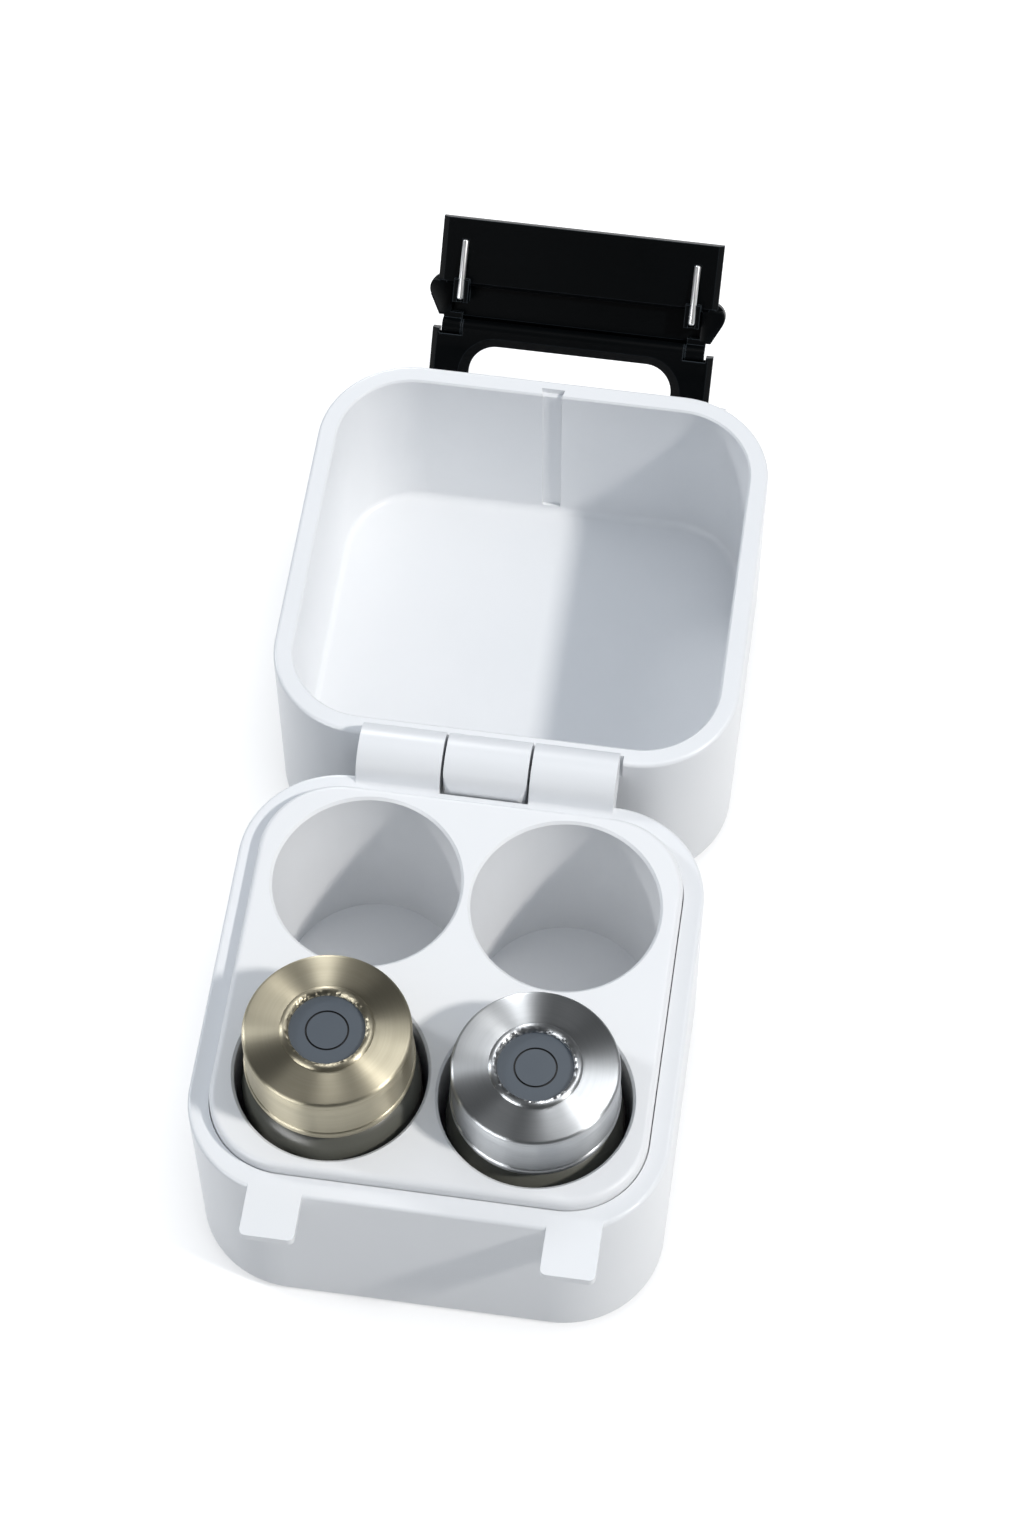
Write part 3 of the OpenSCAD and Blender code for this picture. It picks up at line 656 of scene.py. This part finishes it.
class VialCaseStage(bpy.types.PropertyGroup):
    """View and lights"""
    azimuth: FloatProperty(
        name="Azimuth", description="Angle of the view round the case",
        default=math.radians(8.4995), min=-math.pi, max=math.pi, subtype="ANGLE")
    elevation: FloatProperty(
        name="Elevation", description="Angle of the view above the floor",
        default=math.radians(59.411), min=0, max=math.pi / 2, subtype="ANGLE")
    roll: FloatProperty(
        name="Roll", description="Turn of the view about its own axis",
        default=math.radians(-0.3295), subtype="ANGLE")
    distance: FloatProperty(
        name="Distance", description="Distance of the view",
        default=0.48068, min=0.1, unit="LENGTH")
    lens: FloatProperty(
        name="Lens", description="Focal length of the view",
        default=87.653, min=20, unit="CAMERA")
    key_strength: FloatProperty(
        name="Key light", description="Strength of the key light",
        default=1.92, min=0)
    key_azimuth: FloatProperty(
        name="Key azimuth", description="Direction of the key light round the case",
        default=math.radians(76), subtype="ANGLE")
    key_elevation: FloatProperty(
        name="Key height", description="Angle of the key light above the floor",
        default=math.radians(47), subtype="ANGLE")
    side_strength: FloatProperty(
        name="Side light", description="Strength of the low light from the left",
        default=0.85, min=0)
    side_azimuth: FloatProperty(
        name="Side azimuth", description="Direction of the side light round the case",
        default=math.radians(-109), subtype="ANGLE")
    side_elevation: FloatProperty(
        name="Side height", description="Angle of the side light above the floor",
        default=math.radians(27), subtype="ANGLE")
    back_power: FloatProperty(
        name="Back softbox", description="Power of the softbox behind the case",
        default=2.5, min=0, unit="POWER")
    top_power: FloatProperty(
        name="Top softbox", description="Power of the softbox above the case",
        default=2.3, min=0, unit="POWER")
    front_power: FloatProperty(
        name="Front softbox", description="Power of the softbox low in front",
        default=5.0, min=0, unit="POWER")
    fill_strength: FloatProperty(
        name="Fill", description="Strength of the light from all round",
        default=0.5, min=0)


# Operators

class VIALCASE_OT_stage(bpy.types.Operator):
    """Adds the floor, the lights and the camera"""
    bl_idname = "vialcase.stage"
    bl_label = "Stage"

    def execute(self, context):
        scene = context.scene
        stage = scene.vial_case_stage
        bpy.ops.object.select_all(action="DESELECT")
        bpy.ops.mesh.primitive_plane_add(size=FLOOR_SIZE, location=(0, 0, -FLOOR_DROP))
        floor = context.object
        floor.name = "floor"
        floor.data.materials.append(white_paper("white_paper"))

        scene.world = studio_world(stage.fill_strength)
        far_light("key", KEY_COLOUR, stage.key_strength, KEY_SPREAD,
                  towards(stage.key_azimuth, stage.key_elevation))
        far_light("side", SIDE_COLOUR, stage.side_strength, SIDE_SPREAD,
                  towards(stage.side_azimuth, stage.side_elevation))
        softbox("back_softbox", azimuth=195, elevation=31.5, size=(0.1, 0.25), power=stage.back_power)
        softbox("top_softbox", azimuth=140, elevation=68.6, size=(0.14, 0.3), power=stage.top_power)
        softbox("front_softbox", azimuth=-36, elevation=18, size=(0.5, 0.4), power=stage.front_power)

        scene.camera = view_camera(stage)
        scene.view_settings.view_transform = "Standard"
        return {"FINISHED"}


class VIALCASE_OT_case(bpy.types.Operator):
    """Gives the base, the lid and the tray their white plastic"""
    bl_idname = "vialcase.case"
    bl_label = "Case and tray"

    def execute(self, context):
        colours = context.scene.vial_case_colours
        shell = moulded_plastic("moulded_white_abs", colours.case, linear("#e9ebed"), roughness=0.3,
                                grain_mm=0.25, grain_strength=0.08, edge_mm=0.12)
        tray = moulded_plastic("moulded_white_tray", colours.tray, linear("#ebecee"), roughness=0.4,
                               grain_mm=0.2, grain_strength=0.12, edge_mm=0.1)
        dress("base_shell", shell)
        dress("lid_shell", shell)
        dress("vial_tray", tray)
        return {"FINISHED"}


class VIALCASE_OT_latch(bpy.types.Operator):
    """Gives the latch its black plastic, and the wires and pins their steel, and adds small pieces"""
    bl_idname = "vialcase.latch"
    bl_label = "Draw latch"

    def execute(self, context):
        colours = context.scene.vial_case_colours
        # The paler colour, #363c41, is a painted highlight along the latch's rounded edges
        black = moulded_black("moulded_black_nylon", colours.latch, linear("#07090b"), linear("#363c41"),
                              grain_mm=0.3, edge_mm=0.22)
        steel = drawn_steel("drawn_steel_wire", linear("#d7d9db"), linear("#b9bcbf"), roughness=0.22)
        bright = drawn_steel("polished_steel_wire", linear("#f5f6f7"), linear("#eceeef"), roughness=0.36)
        dress("latch_frame", black)
        dress("latch_lever", black)
        for node in ("hinge_pin", "pivot_pins", "lever_pin", "catch_rods"):
            dress(node, steel)
        catch_wires(bright)
        low, high = (Vector(corner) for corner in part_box("lever_pin"))
        turn_at = (low + high) / 2
        lean = math.radians(LATCH_LEAN)
        pocket_lip(turn_at, lean, black)
        for side, sign in (("left", -1), ("right", 1)):
            bar_collar(side, sign, turn_at, black)
            cheek_face(side, sign, turn_at, lean, black)
        return {"FINISHED"}


class VIALCASE_OT_vials(bpy.types.Operator):
    """Gives the vials their glass and stoppers, and adds their crimped seals"""
    bl_idname = "vialcase.vials"
    bl_label = "Vials"

    def execute(self, context):
        colours = context.scene.vial_case_colours
        glass = vial_glass("tubing_glass_painted_shade", colours.glass)
        for side, colour, tone, roughness in (("left", colours.left_seal, linear("#837e6d"), 0.4),
                                              ("right", colours.right_seal, linear("#85888b"), 0.34)):
            node = side + "_vial_seal"
            center = middle(node)
            top_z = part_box(node)[1][2] - (BEAD_R - BEAD_DEPTH) * MM
            metal = turned_metal("turned_aluminium_" + side, colour, tone, roughness, center)
            # The darkest colour, #14181d, is painted shade in each stopper's groove ring
            rubber = stopper_rubber("butyl_rubber_" + side, colours.stopper, linear("#47505a"),
                                    linear("#14181d"), center, STOPPER_RING_R * MM, STOPPER_RING_W * MM)
            dress(side + "_vial_glass", glass)
            dress(side + "_vial_stopper", rubber)
            dress(node, metal)
            piece = crimped_seal(side + "_crimped_seal", center, top_z, CRIMP_SEEDS[side])
            piece.data.materials.append(metal)
            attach(piece, side + "_vial")
            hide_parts(node)
        return {"FINISHED"}


class VIALCASE_PT_panel(bpy.types.Panel):
    """Lists the steps and their settings"""
    bl_idname = "VIALCASE_PT_panel"
    bl_label = "Vial Case"
    bl_space_type = "VIEW_3D"
    bl_region_type = "UI"
    bl_category = "Vial Case"

    def draw(self, context):
        for step in STEPS:
            self.layout.operator(step.bl_idname)
        for group in (context.scene.vial_case_colours, context.scene.vial_case_stage):
            box = self.layout.box()
            for name in type(group).__annotations__:
                box.prop(group, name)


STEPS = (VIALCASE_OT_stage, VIALCASE_OT_case, VIALCASE_OT_latch, VIALCASE_OT_vials)
CLASSES = (VialCaseColours, VialCaseStage, *STEPS, VIALCASE_PT_panel)


def register():
    for cls in CLASSES:
        bpy.utils.register_class(cls)
    bpy.types.Scene.vial_case_colours = PointerProperty(type=VialCaseColours)
    bpy.types.Scene.vial_case_stage = PointerProperty(type=VialCaseStage)


def unregister():
    del bpy.types.Scene.vial_case_stage
    del bpy.types.Scene.vial_case_colours
    for cls in reversed(CLASSES):
        bpy.utils.unregister_class(cls)


def main():
    register()
    bpy.ops.vialcase.stage()
    bpy.ops.vialcase.case()
    bpy.ops.vialcase.latch()
    bpy.ops.vialcase.vials()


if __name__ == "__main__":
    main()
